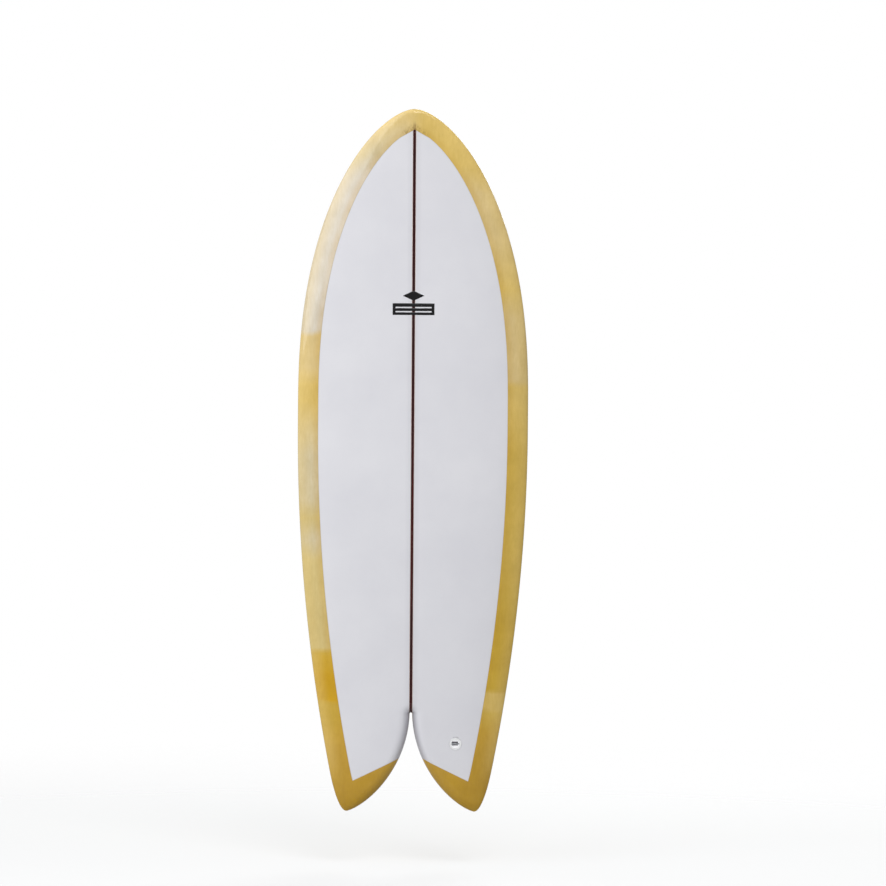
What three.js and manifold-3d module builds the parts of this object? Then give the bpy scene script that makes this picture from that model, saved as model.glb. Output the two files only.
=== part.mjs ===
// Twin-keel fish surfboard, stored upright. Millimetres. +Z runs from the tail tips to the nose,
// the deck faces -Y, the bottom and its fins face +Y, and X runs across the board.
import * as THREE from 'three';
import { mergeGeometries, mergeVertices } from 'three/addons/utils/BufferGeometryUtils.js';
import Module from 'manifold-3d';

const wasm = await Module();
wasm.setup();

// ---------------------------------------------------------------- driving dimensions

const LENGTH = 1676;
const HALF_WIDTH = 276;
const THICKNESS = 63.5;
const THICK_Z = 880;
const NOSE_CURVE = 697;
const TAIL_CURVE = 920;
const TAIL_NARROWING = 0.372;
const TIP_X = 152;
const TIP_ROUNDING = 103.6;
const NOTCH_Z = 236;
const NOTCH_RADIUS = 3.2;
const NOSE_ROCKER = 108;
const TAIL_ROCKER = 41;

const GLASS = 1.0;
const GAP = 0.3;
const STRINGER = 6.35;
const LAP = 49;
const LAP_TAIL_Z = 63;
const LAP_NOTCH = { x: 32, z: 127 };
const LAP_APEX = { z: LENGTH - 49.5, slope: 0.55 };
const LAP_ABOVE_BOTTOM = 6;

const PLUG = {
  x: 107, z: 163, rim: 14.25, rimDepth: 2, body: 12.5, bore: 9.5, depth: 15, floor: 3, proud: 0.8,
};
const BAR = { radius: 1.6, length: 22, depth: 5 };

const FIN_X = 180;
const FIN_Z = 260;
const FIN_TOE = THREE.MathUtils.degToRad(0.8);
const FIN_CANT = THREE.MathUtils.degToRad(4);
const FIN = { base: 190, depth: 128, half: 4.5, foot: 6, rim: 9 };
const TAB = { length: 25, width: 6.4, depth: 13, spread: 45 };
const BOX = { length: 152, width: 23, depth: 17, flangeLength: 160, flangeWidth: 30, flangeDepth: 3 };
const SCREW = { radius: 2.5, length: 5, across: 2.5, socket: 2.5, mouth: 9.2, recess: 2.1 };
const SCREW_LEAN = THREE.MathUtils.degToRad(30);

// Past every face of the board, for shapes that only cut.
const FAR = 400;

const TAIL_STATIONS = 12;
const BODY_STATIONS = 20;
const DECK_COLUMNS = 10;
const BOTTOM_COLUMNS = 8;

// ---------------------------------------------------------------- meshes and booleans

// A strip of quads between rows of points. Its front faces d(row) x d(column).
function surface(rows, flip = false) {
  const columns = rows[0].length;
  const index = [];
  for (let i = 0; i + 1 < rows.length; i += 1) {
    for (let j = 0; j + 1 < columns; j += 1) {
      const a = i * columns + j;
      const b = a + columns;
      index.push(a, b, b + 1, a, b + 1, a + 1);
    }
  }
  const geometry = new THREE.BufferGeometry().setFromPoints(rows.flat());
  geometry.setIndex(index);
  return flip ? reversed(geometry) : geometry;
}

function reversed(geometry) {
  const index = geometry.index.array;
  for (let i = 0; i < index.length; i += 3) {
    [index[i], index[i + 1]] = [index[i + 1], index[i]];
  }
  return geometry;
}

function mirrored(geometry) {
  return reversed(geometry.clone().scale(-1, 1, 1));
}

// Joins surfaces along their shared edges and drops the triangles that shrink to nothing at a pole.
function closed(surfaces) {
  const merged = mergeVertices(mergeGeometries(surfaces), 1e-4);
  const index = merged.index.array;
  const kept = [];
  for (let i = 0; i < index.length; i += 3) {
    const [a, b, c] = index.slice(i, i + 3);
    if (a !== b && b !== c && c !== a) {
      kept.push(a, b, c);
    }
  }
  merged.setIndex(kept);
  return merged;
}

function solid(geometry) {
  const bare = new THREE.BufferGeometry();
  bare.setAttribute('position', geometry.attributes.position.clone());
  if (geometry.index) {
    bare.setIndex(Array.from(geometry.index.array));
  }
  const clean = closed([bare]);
  return new wasm.Manifold(new wasm.Mesh({
    numProp: 3,
    vertProperties: new Float32Array(clean.attributes.position.array),
    triVerts: new Uint32Array(clean.index.array),
  }));
}

function geometryOf(manifold) {
  const mesh = manifold.getMesh();
  const geometry = new THREE.BufferGeometry();
  geometry.setAttribute('position', new THREE.BufferAttribute(new Float32Array(mesh.vertProperties), 3));
  geometry.setIndex(Array.from(mesh.triVerts));
  return geometry;
}

function block(x0, x1, y0, y1, z0, z1) {
  const geometry = new THREE.BoxGeometry(x1 - x0, y1 - y0, z1 - z0);
  geometry.translate((x0 + x1) / 2, (y0 + y1) / 2, (z0 + z1) / 2);
  return solid(geometry);
}

// A prism along Y from an outline of [x, z] points.
function prismAlongY(outline, y0, y1) {
  const shape = new THREE.Shape(outline.map(([x, z]) => new THREE.Vector2(x, z)));
  const geometry = new THREE.ExtrudeGeometry(shape, { depth: y1 - y0, bevelEnabled: false });
  geometry.rotateX(Math.PI / 2);
  geometry.translate(0, y1, 0);
  return solid(geometry);
}

// A prism along X, centred on x = 0, from an outline of [y, z] points.
function prismAlongX(outline, width) {
  const shape = new THREE.Shape(outline.map(([y, z]) => new THREE.Vector2(z, y)));
  const geometry = new THREE.ExtrudeGeometry(shape, { depth: width, bevelEnabled: false });
  geometry.rotateY(-Math.PI / 2);
  geometry.translate(width / 2, 0, 0);
  return solid(geometry);
}

// A round-ended slot shape along Z, cut or filled from y0 to y1.
function stadium(length, width, y0, y1) {
  const radius = width / 2;
  const outline = [];
  for (const end of [1, -1]) {
    for (let i = 0; i <= 8; i += 1) {
      const angle = (Math.PI * i) / 8;
      outline.push([end * radius * Math.cos(angle), end * (length / 2 - radius + radius * Math.sin(angle))]);
    }
  }
  return prismAlongY(outline, y0, y1);
}

function cylinder(radius, y0, y1, segments = 24) {
  const geometry = new THREE.CylinderGeometry(radius, radius, y1 - y0, segments);
  geometry.translate(0, (y0 + y1) / 2, 0);
  return geometry;
}

// ---------------------------------------------------------------- shape of the board

// Half width at the rail, z above the tail tips.
function railX(z) {
  const nose = Math.max(0, 1 - (LENGTH - z) / NOSE_CURVE);
  const tail = Math.max(0, (TAIL_CURVE - z) / TAIL_CURVE);
  const tip = Math.max(0, 1 - z / TIP_ROUNDING);
  const tipCut = HALF_WIDTH * (1 - TAIL_NARROWING) - TIP_X;
  const wide = HALF_WIDTH * (1 - nose ** 2.292) ** 0.616;
  const narrowing = HALF_WIDTH * TAIL_NARROWING * tail ** 2.016;
  return wide - narrowing - tipCut * (1 - (1 - tip ** 2.48) ** 0.403);
}

// Half width of the swallow-tail notch.
function notchX(z) {
  if (z >= NOTCH_Z) {
    return 0;
  }
  const crotch = NOTCH_Z - NOTCH_RADIUS;
  if (z > crotch) {
    return Math.sqrt(NOTCH_RADIUS ** 2 - (z - crotch) ** 2);
  }
  return NOTCH_RADIUS + (TIP_X - NOTCH_RADIUS) * (1 - (z / crotch) ** 0.76) ** 1.82;
}

const notchEdge = [];
for (let i = 0; i <= 120; i += 1) {
  const z = (NOTCH_Z * (1 - Math.cos((Math.PI * i) / 120))) / 2;
  notchEdge.push([notchX(z), z]);
}

function distanceToNotch(x, z) {
  if (z > NOTCH_Z + 40) {
    return Infinity;
  }
  const point = new THREE.Vector3(x, 0, z);
  const nearest = new THREE.Vector3();
  let best = Infinity;
  for (let i = 0; i + 1 < notchEdge.length; i += 1) {
    const from = new THREE.Vector3(notchEdge[i][0], 0, notchEdge[i][1]);
    const to = new THREE.Vector3(notchEdge[i + 1][0], 0, notchEdge[i + 1][1]);
    new THREE.Line3(from, to).closestPointToPoint(point, true, nearest);
    best = Math.min(best, nearest.distanceTo(point));
  }
  return best;
}

function noseShare(z) {
  return Math.max(0, (z - THICK_Z) / (LENGTH - THICK_Z));
}

function tailShare(z) {
  return Math.max(0, (THICK_Z - z) / THICK_Z);
}

function thickness(z) {
  const taper = 1 - 0.78 * noseShare(z) ** 2.6 - 0.6 * tailShare(z) ** 2.2;
  const end = Math.min(1, (LENGTH - z) / 12);
  return THICKNESS * taper * Math.sqrt(1 - (1 - end) ** 2);
}

// Height of the bottom's centre line over its lowest point.
function rocker(z) {
  const nose = Math.max(0, (z - 838) / 838);
  const tail = Math.max(0, (760 - z) / 760);
  return NOSE_ROCKER * nose ** 2.5 + TAIL_ROCKER * tail ** 2;
}

function roundOver(distance, reach, drop) {
  const inside = Math.max(0, 1 - distance / reach);
  return drop * (1 - Math.sqrt(1 - inside ** 2));
}

// Heights of the deck and the bottom over the bottom's centre line.
function section(x, z) {
  const share = Math.min(1, x / Math.max(railX(z), 1e-6));
  const full = thickness(z);
  const apex = full * (0.4 + 0.1 * noseShare(z) ** 2 - 0.18 * tailShare(z) ** 1.5);
  const hardness = 16 - 10 * noseShare(z) + 14 * tailShare(z);
  const deck = apex + (full - apex) * (1 - share ** 2.6) ** (1 / 1.8);
  const bottom = apex * (1 - Math.sqrt(1 - share ** hardness));
  const toNotch = distanceToNotch(x, z);
  const room = deck - bottom;
  return {
    deck: deck - roundOver(toNotch, 24, Math.min(24, 0.7 * room)),
    bottom: bottom + roundOver(toNotch, 4, Math.min(4, 0.3 * room)),
  };
}

function deckPoint(x, z) {
  return new THREE.Vector3(x, -rocker(z) - section(x, z).deck, z);
}

function bottomPoint(x, z) {
  return new THREE.Vector3(x, -rocker(z) - section(x, z).bottom, z);
}

function deckNormal(x, z) {
  const across = deckPoint(x + 1, z).sub(deckPoint(x - 1, z));
  const along = deckPoint(x, z + 1).sub(deckPoint(x, z - 1));
  return across.cross(along).normalize();
}

function stations() {
  const list = [];
  for (let i = 0; i < TAIL_STATIONS; i += 1) {
    list.push((NOTCH_Z * (1 - Math.cos((Math.PI * i) / TAIL_STATIONS))) / 2);
  }
  for (let i = 0; i <= BODY_STATIONS; i += 1) {
    list.push(NOTCH_Z + ((LENGTH - NOTCH_Z) * (1 - Math.cos((Math.PI * i) / BODY_STATIONS))) / 2);
  }
  list.splice(-1, 0, LENGTH - 2);
  return list;
}

// Columns crowd towards the rail everywhere and towards the notch beside it.
function columnX(z, share) {
  const inner = notchX(z);
  const towardsRail = Math.sin((Math.PI * share) / 2);
  const towardsBoth = (1 - Math.cos(Math.PI * share)) / 2;
  const beside = 1 - THREE.MathUtils.smoothstep(z, NOTCH_Z, 620);
  return inner + (railX(z) - inner) * THREE.MathUtils.lerp(towardsRail, towardsBoth, beside);
}

function rowsOf(pointAt, columns) {
  return stations().map((z) => {
    const row = [];
    for (let j = 0; j <= columns; j += 1) {
      row.push(pointAt(columnX(z, j / columns), z));
    }
    return row;
  });
}

function hullGeometry() {
  const deckRows = rowsOf(deckPoint, DECK_COLUMNS);
  const bottomRows = rowsOf(bottomPoint, BOTTOM_COLUMNS);
  const wallRows = [];
  for (let i = 0; i <= TAIL_STATIONS; i += 1) {
    wallRows.push([deckRows[i][0], bottomRows[i][0]]);
  }
  const half = closed([surface(deckRows, true), surface(bottomRows), surface(wallRows)]);
  return closed([half, mirrored(half)]);
}

// The same surface moved inwards along its normals. A negative distance moves it out.
function inset(geometry, distance) {
  const moved = geometry.clone();
  moved.computeVertexNormals();
  const position = moved.attributes.position;
  const normal = moved.attributes.normal;
  for (let i = 0; i < position.count; i += 1) {
    position.setXYZ(
      i,
      position.getX(i) - distance * normal.getX(i),
      position.getY(i) - distance * normal.getY(i),
      position.getZ(i) - distance * normal.getZ(i),
    );
  }
  return moved;
}

// ---------------------------------------------------------------- core and glass

const hullSurface = hullGeometry();
const hull = solid(hullSurface);
const core = solid(inset(hullSurface, GLASS + GAP));
const shell = hull.subtract(solid(inset(hullSurface, GLASS)));

// Everything inside the cut line of the wrapped bottom glass, from just above the bottom outwards.
function insideLap(grow) {
  const width = LAP - grow;
  const lowest = LAP_TAIL_Z - 1.5 * grow;
  const side = [];
  for (let i = 0; i <= 48; i += 1) {
    const z = lowest + (LENGTH - lowest) * Math.sin((Math.PI * i) / 96);
    const along = new THREE.Vector2(railX(Math.min(LENGTH, z + 1)) - railX(z - 1), 2).normalize();
    const x = railX(z) - width * along.y;
    if (x > 0 && z < LENGTH - 4) {
      side.push([x, z + width * along.x]);
    }
  }
  const apex = [0, LAP_APEX.z + 1.2 * grow];
  const notch = [LAP_NOTCH.x, LAP_NOTCH.z - 1.5 * grow];
  const right = [notch, ...side.filter(([x, z]) => z < apex[1] - LAP_APEX.slope * x)];
  const left = right.map(([x, z]) => [-x, z]).reverse();
  const profile = [];
  for (let i = 0; i <= 40; i += 1) {
    const z = -20 + (LENGTH + 40) * (i / 40);
    profile.push([-rocker(Math.max(0, z)) - LAP_ABOVE_BOTTOM + grow, z]);
  }
  profile.push([-FAR, LENGTH + 20], [-FAR, -20]);
  return prismAlongY([...right, apex, ...left], -FAR, FAR).intersect(prismAlongX(profile, 2 * FAR));
}

// ---------------------------------------------------------------- leash plug

const plugCentre = deckPoint(PLUG.x, PLUG.z);
const plugAxis = deckNormal(PLUG.x, PLUG.z);
const plugFrame = new THREE.Matrix4();
{
  const across = new THREE.Vector3(1, 0, 0).addScaledVector(plugAxis, -plugAxis.x).normalize();
  const back = new THREE.Vector3().crossVectors(across, plugAxis);
  plugFrame.makeBasis(across, plugAxis, back);
  plugFrame.setPosition(plugCentre);
}

function plugEnvelope(grow) {
  const rim = solid(cylinder(PLUG.rim + grow, -PLUG.rimDepth - grow, 20, 32).applyMatrix4(plugFrame));
  const bottom = PLUG.depth + PLUG.floor - PLUG.proud;
  const body = solid(cylinder(PLUG.body + grow, -bottom - grow, 1, 32).applyMatrix4(plugFrame));
  return rim.add(body);
}

function plugCup() {
  const top = PLUG.proud;
  const bottom = top - PLUG.depth - PLUG.floor;
  const profile = [
    [0, bottom],
    [PLUG.body, bottom],
    [PLUG.body, -PLUG.rimDepth],
    [PLUG.rim, -PLUG.rimDepth],
    [PLUG.rim, top],
    [PLUG.bore, top],
    [PLUG.bore, bottom + PLUG.floor],
    [0, bottom + PLUG.floor],
  ].map(([x, y]) => new THREE.Vector2(x, y));
  const cup = solid(new THREE.LatheGeometry(profile, 32).applyMatrix4(plugFrame));
  const socket = new THREE.CylinderGeometry(BAR.radius + GAP, BAR.radius + GAP, BAR.length + 2 * GAP, 16);
  socket.rotateZ(Math.PI / 2);
  socket.translate(0, top - BAR.depth, 0);
  return cup.subtract(solid(socket.applyMatrix4(plugFrame)));
}

function plugBar() {
  const bar = new THREE.CylinderGeometry(BAR.radius, BAR.radius, BAR.length, 16);
  bar.rotateZ(Math.PI / 2);
  bar.translate(0, PLUG.proud - BAR.depth, 0);
  return solid(bar.applyMatrix4(plugFrame));
}

// ---------------------------------------------------------------- fins and their boxes

// Frame of the right fin: X away from the stringer, Y out of the bottom, Z towards the nose.
const finFrame = new THREE.Matrix4();
{
  const slope = (2 * TAIL_ROCKER * (760 - FIN_Z)) / 760 ** 2;
  const forward = new THREE.Vector3(0, slope, 1).normalize();
  const out = new THREE.Vector3(0, 1, -slope).normalize();
  const toed = forward.clone().applyAxisAngle(out, -FIN_TOE);
  const away = new THREE.Vector3().crossVectors(out, toed);
  finFrame.makeBasis(away, out, toed);
  finFrame.setPosition(bottomPoint(FIN_X, FIN_Z));
}

// Front and back edges of the keel, height above its base, margin inside its outline.
function finEdges(height, margin) {
  const share = Math.min(1, height / (FIN.depth - margin));
  const sweep = 9 * Math.sin(3.6 * share) - 9 * Math.sin(3.6);
  const back = -FIN.base / 2 + 1.2 * margin + sweep * share + 9 * share ** 8;
  const tip = -FIN.base / 2 + 1.2 * margin + 9;
  const front = tip + (FIN.base / 2 - 1.3 * margin - tip) * (1 - share ** 2.1) ** 0.62;
  return { front, back };
}

function finBlade() {
  const rows = { outer: [], inner: [] };
  for (let i = 0; i <= 12; i += 1) {
    const share = Math.sin((Math.PI * i) / 24);
    const height = FIN.depth * share;
    const { front, back } = finEdges(height, 0);
    const half = FIN.half * (1 - 0.6 * share ** 1.6) * Math.sqrt(1 - share ** 8);
    const outer = [];
    const inner = [];
    for (let j = 0; j <= 10; j += 1) {
      const chord = (1 - Math.cos((Math.PI * j) / 10)) / 2;
      const profile = 2.598 * Math.sqrt(chord) * (1 - chord);
      const z = front + (back - front) * chord;
      const lean = Math.tan(FIN_CANT) * height;
      outer.push(new THREE.Vector3(lean + half * profile, height, z));
      inner.push(new THREE.Vector3(lean - half * profile, height, z));
    }
    rows.outer.push(outer);
    rows.inner.push(inner);
  }
  const base = surface([rows.outer[0], rows.inner[0]]);
  return solid(closed([surface(rows.outer, true), surface(rows.inner), base]));
}

// The panel's outline, closed below the base so that the rim is open there.
function panelPrism(margin) {
  const leading = [];
  const trailing = [];
  for (let i = 0; i <= 16; i += 1) {
    const height = (FIN.depth - margin) * Math.sin((Math.PI * i) / 32);
    const { front, back } = finEdges(height, margin);
    leading.push([height, front]);
    if (i < 16) {
      trailing.push([height, back]);
    }
  }
  const outline = [[-5, leading[0][1]], ...leading, ...trailing.reverse(), [-5, trailing[0][1]]];
  return prismAlongX(outline, 2 * FAR);
}

function finParts() {
  const blade = finBlade();
  const foot = blade.intersect(block(-FAR, FAR, GAP, FIN.foot, -FAR, FAR));
  const upper = blade.intersect(block(-FAR, FAR, FIN.foot + GAP, FAR, -FAR, FAR));
  let base = foot;
  for (const z of [TAB.spread, -TAB.spread]) {
    base = base.add(block(
      -TAB.width / 2, TAB.width / 2, -TAB.depth, FIN.foot / 2, z - TAB.length / 2, z + TAB.length / 2,
    ));
  }
  return {
    base,
    rim: upper.subtract(panelPrism(FIN.rim)),
    panel: upper.intersect(panelPrism(FIN.rim + GAP)),
  };
}

function boxEnvelope(grow) {
  const flange = stadium(
    BOX.flangeLength + 2 * grow, BOX.flangeWidth + 2 * grow, -BOX.flangeDepth - grow, 6,
  );
  const body = stadium(BOX.length + 2 * grow, BOX.width + 2 * grow, -BOX.depth - grow, 1);
  return flange.add(body);
}

// Placed so that +Y runs out along the screw, from the mouth of its hole in the box.
function screwFrame(z) {
  const matrix = new THREE.Matrix4().makeRotationZ(-SCREW_LEAN);
  matrix.setPosition(SCREW.mouth, 0, z);
  return matrix;
}

function finBox() {
  let box = boxEnvelope(0);
  for (const z of [TAB.spread, -TAB.spread]) {
    const halfWidth = TAB.width / 2 + GAP;
    const halfLength = TAB.length / 2 + GAP;
    box = box.subtract(block(-halfWidth, halfWidth, -TAB.depth - 1, 20, z - halfLength, z + halfLength));
    const hole = cylinder(SCREW.radius + GAP, -10, 12, 20).applyMatrix4(screwFrame(z));
    box = box.subtract(solid(hole));
  }
  return box;
}

function screw(z) {
  const top = -SCREW.recess;
  const body = solid(cylinder(SCREW.radius, top - SCREW.length, top, 20).applyMatrix4(screwFrame(z)));
  const corner = SCREW.across / 2 / Math.cos(Math.PI / 6);
  const key = cylinder(corner, top - SCREW.socket, top + 2, 6).applyMatrix4(screwFrame(z));
  return body.subtract(solid(key));
}

// ---------------------------------------------------------------- mark on the deck

// A thin film lying on the deck, cut to an outline with optional slots.
function film(outline, slots) {
  const outer = solid(inset(hullSurface, -0.35));
  const inner = solid(inset(hullSurface, -0.05));
  let plate = prismAlongY(outline, -300, -30);
  for (const slot of slots) {
    plate = plate.subtract(prismAlongY(slot, -310, -20));
  }
  return outer.subtract(inner).intersect(plate);
}

function rectangle(x0, x1, z0, z1) {
  return [[x0, z0], [x1, z0], [x1, z1], [x0, z1]];
}

const MARK_Z = 1213;
const upperMark = [[0, 8], [26, 20], [0, 32], [-26, 20]].map(([x, z]) => [x, MARK_Z + z]);
const lowerMark = rectangle(-50, 50, MARK_Z - 26, MARK_Z + 2);
const lowerSlots = [-8, -18].map((z) => rectangle(-43, 43, MARK_Z + z - 1.5, MARK_Z + z + 1.5));

// ---------------------------------------------------------------- materials

function material(color, roughness, metalness = 0) {
  return new THREE.MeshStandardMaterial({ color, roughness, metalness });
}

const foamWhite = material(0xf2f0ea, 0.9);
const deckGlass = material(0xe6e6e8, 0.2);
const amberGlass = material(0xcf9a3a, 0.2);
const darkWood = material(0x4b322d, 0.5);
const plyWood = material(0xb98a56, 0.4);
const markBlack = material(0x1d1c1e, 0.4);
const plugWhite = material(0xe9e9e6, 0.35);
const steel = material(0xb8babd, 0.3, 1);
const boxPlastic = material(0xdcdad2, 0.5);

// ---------------------------------------------------------------- assembly

const group = new THREE.Group();
group.name = 'surfboard';

function addPart(name, shape, look) {
  const geometry = shape instanceof THREE.BufferGeometry ? shape : geometryOf(shape);
  const mesh = new THREE.Mesh(geometry, look);
  mesh.name = name;
  group.add(mesh);
}

const rightFin = finParts();
const finShapes = {
  fin_box: geometryOf(finBox()),
  fin_box_pocket: geometryOf(boxEnvelope(GAP)),
  fin_base: geometryOf(rightFin.base),
  fin_rim: geometryOf(rightFin.rim),
  fin_panel: geometryOf(rightFin.panel),
  screw_front: geometryOf(screw(TAB.spread)),
  screw_rear: geometryOf(screw(-TAB.spread)),
};

// A fin piece in the board's frame, on the right side or mirrored to the left.
function onBoard(key, side) {
  const placed = finShapes[key].clone().applyMatrix4(finFrame);
  return side === 'left' ? mirrored(placed) : placed;
}

const pockets = solid(onBoard('fin_box_pocket', 'right'))
  .add(solid(onBoard('fin_box_pocket', 'left')))
  .add(plugEnvelope(GAP));

// The part of the core between two values of x.
function coreBetween(x0, x1) {
  return core.intersect(block(x0, x1, -FAR, FAR, -FAR, LENGTH + FAR));
}

const halfStringer = STRINGER / 2;
addPart('foam_left', coreBetween(-FAR, -halfStringer - GAP).subtract(pockets), foamWhite);
addPart('foam_right', coreBetween(halfStringer + GAP, FAR).subtract(pockets), foamWhite);
addPart('stringer', coreBetween(-halfStringer, halfStringer), darkWood);
addPart('bottom_lamination', shell.subtract(insideLap(GAP)).subtract(pockets), amberGlass);
addPart('deck_lamination', shell.intersect(insideLap(0)).subtract(pockets), deckGlass);
addPart('deck_mark_upper', film(upperMark, []), markBlack);
addPart('deck_mark_lower', film(lowerMark, lowerSlots), markBlack);
addPart('leash_plug_cup', plugCup(), plugWhite);
addPart('leash_plug_bar', plugBar(), steel);

for (const side of ['left', 'right']) {
  addPart(`fin_box_${side}`, solid(onBoard('fin_box', side)).intersect(hull), boxPlastic);
  addPart(`fin_base_${side}`, onBoard('fin_base', side), amberGlass);
  addPart(`fin_rim_${side}`, onBoard('fin_rim', side), amberGlass);
  addPart(`fin_panel_${side}`, onBoard('fin_panel', side), plyWood);
  for (const end of ['front', 'rear']) {
    addPart(`screw_${side}_${end}`, onBoard(`screw_${end}`, side), steel);
  }
}

// The whole board is shifted so that the middle of its depth lies on y = 0.
const bounds = new THREE.Box3().setFromObject(group);
const middle = (bounds.min.y + bounds.max.y) / 2;
for (const mesh of group.children) {
  mesh.geometry.translate(0, -middle, 0);
  mesh.geometry.computeVertexNormals();
}

export default group;
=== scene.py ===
"""Looks for a twin-keel fish surfboard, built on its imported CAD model.

The board stands on the level of its tail tips: +Z runs to the nose and the deck faces -Y.
The shape functions are in millimetres, as in the CAD, and every mesh is made in metres.
"""

import math

import bmesh
import bpy
import numpy as np
from mathutils import Matrix, Vector


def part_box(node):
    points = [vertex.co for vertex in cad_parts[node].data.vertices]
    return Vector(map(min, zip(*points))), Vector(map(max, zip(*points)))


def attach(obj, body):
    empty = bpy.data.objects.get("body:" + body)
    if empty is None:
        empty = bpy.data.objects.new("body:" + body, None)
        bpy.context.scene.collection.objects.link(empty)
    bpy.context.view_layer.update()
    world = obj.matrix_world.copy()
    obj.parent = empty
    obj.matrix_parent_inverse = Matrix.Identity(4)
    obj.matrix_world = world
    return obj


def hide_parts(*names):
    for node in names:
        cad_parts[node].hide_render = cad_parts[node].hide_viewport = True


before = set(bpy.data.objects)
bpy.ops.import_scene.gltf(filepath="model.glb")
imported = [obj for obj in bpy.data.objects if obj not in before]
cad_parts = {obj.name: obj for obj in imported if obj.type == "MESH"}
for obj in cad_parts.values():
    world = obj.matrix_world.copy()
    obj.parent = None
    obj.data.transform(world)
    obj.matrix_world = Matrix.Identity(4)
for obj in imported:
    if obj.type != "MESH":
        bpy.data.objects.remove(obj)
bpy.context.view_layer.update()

MM = 0.001
BOTTOM_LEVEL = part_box("bottom_lamination")[1].y

LENGTH = 1676.0
HALF_WIDTH = 276.0
THICKNESS = 63.5
THICK_Z = 880.0
NOSE_CURVE = 697.0
TAIL_CURVE = 920.0
TAIL_NARROWING = 0.372
TIP_X = 152.0
TIP_ROUNDING = 103.6
NOTCH_Z = 236.0
NOTCH_RADIUS = 3.2
NOSE_ROCKER = 108.0
NOSE_ROCKER_Z = 838.0
TAIL_ROCKER = 41.0
TAIL_ROCKER_Z = 760.0

GLASS = 1.0
RIDGE = 0.25
LAP = 49.0
LAP_CORNER_Z = 73.0
LAP_NOTCH_Z = 127.0
LAP_APEX_Z = LENGTH - 49.5
LAP_APEX_SLOPE = 0.55
LAP_ABOVE_BOTTOM = 6.0
PATCH_Z = 320.0
PATCH_HALF = 50.0

PLUG_X = 107.0
PLUG_Z = 163.0
PLUG_RIM = 14.25
MARK_Z = 1213.0
PRINT_PROUD = 0.12
PRINT_THICK = 0.08

BOX_LENGTH = 160.0
BOX_WIDTH = 30.0
FIN_X = 180.0
FIN_Z = 260.0
FIN_BASE = 190.0
FIN_DEPTH = 128.0
FIN_HALF = 4.5
FIN_FOOT = 6.3
FIN_RIM = 9.0
PLY_PAIR = 1.5
FIN_TOE = math.radians(0.8)
FIN_CANT = math.radians(4.0)


# ---------------------------------------------------------------- shape of the board


def eased(start, end, count):
    """Numbers from start to end that crowd at both."""
    share = (1 - np.cos(np.linspace(0, math.pi, count + 1))) / 2
    return start + (end - start) * share


def between(low, high, count):
    """A row of numbers for each pair of limits, crowded at both ends."""
    share = eased(0, 1, count)
    return low[:, None] + (high - low)[:, None] * share


def distance_to_line(x, z, line):
    """Distance in plan from each point to a line with (x, z) corners."""
    start = line[:-1]
    step = np.diff(line, axis=0)
    point = np.stack([x.ravel(), z.ravel()], axis=1)[:, None, :]
    along = np.sum((point - start) * step, axis=2) / np.sum(step**2, axis=1)
    nearest = start + np.clip(along, 0, 1)[:, :, None] * step
    return np.sqrt(np.sum((point - nearest) ** 2, axis=2)).min(axis=1).reshape(x.shape)


def rail_x(z):
    """Half width at the rail."""
    nose = np.clip(1 - (LENGTH - z) / NOSE_CURVE, 0, 1)
    tail = np.clip((TAIL_CURVE - z) / TAIL_CURVE, 0, 1)
    tip = np.clip(1 - z / TIP_ROUNDING, 0, 1)
    tip_cut = HALF_WIDTH * (1 - TAIL_NARROWING) - TIP_X
    wide = HALF_WIDTH * (1 - nose**2.292) ** 0.616
    narrowing = HALF_WIDTH * TAIL_NARROWING * tail**2.016
    return wide - narrowing - tip_cut * (1 - (1 - tip**2.48) ** 0.403)


def notch_x(z):
    """Half width of the swallow-tail notch."""
    crotch = NOTCH_Z - NOTCH_RADIUS
    share = np.clip(z / crotch, 0, 1)
    side = NOTCH_RADIUS + (TIP_X - NOTCH_RADIUS) * (1 - share**0.76) ** 1.82
    cap = np.sqrt(np.clip(NOTCH_RADIUS**2 - (z - crotch) ** 2, 0, None))
    return np.where(z >= NOTCH_Z, 0, np.where(z > crotch, cap, side))


notch_edge_z = eased(0, NOTCH_Z, 240)
NOTCH_EDGE = np.stack([notch_x(notch_edge_z), notch_edge_z], axis=1)


def nose_share(z):
    """0 at the thickest place and 1 at the nose."""
    return np.clip((z - THICK_Z) / (LENGTH - THICK_Z), 0, 1)


def tail_share(z):
    """0 at the thickest place and 1 at the tail tips."""
    return np.clip((THICK_Z - z) / THICK_Z, 0, 1)


def thickness(z):
    """Thickness of the board on its centre line."""
    taper = 1 - 0.78 * nose_share(z) ** 2.6 - 0.6 * tail_share(z) ** 2.2
    end = np.clip((LENGTH - z) / 12, 0, 1)
    return THICKNESS * taper * np.sqrt(1 - (1 - end) ** 2)


def rocker(z):
    """Height of the bottom's centre line over its lowest point."""
    nose = np.clip((z - NOSE_ROCKER_Z) / (LENGTH - NOSE_ROCKER_Z), 0, None)
    tail = np.clip((TAIL_ROCKER_Z - z) / TAIL_ROCKER_Z, 0, None)
    return NOSE_ROCKER * nose**2.5 + TAIL_ROCKER * tail**2


def round_over(distance, reach, drop):
    """How far a surface falls near an edge that is rounded over."""
    inside = np.clip(1 - distance / reach, 0, 1)
    return drop * (1 - np.sqrt(1 - inside**2))


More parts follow.
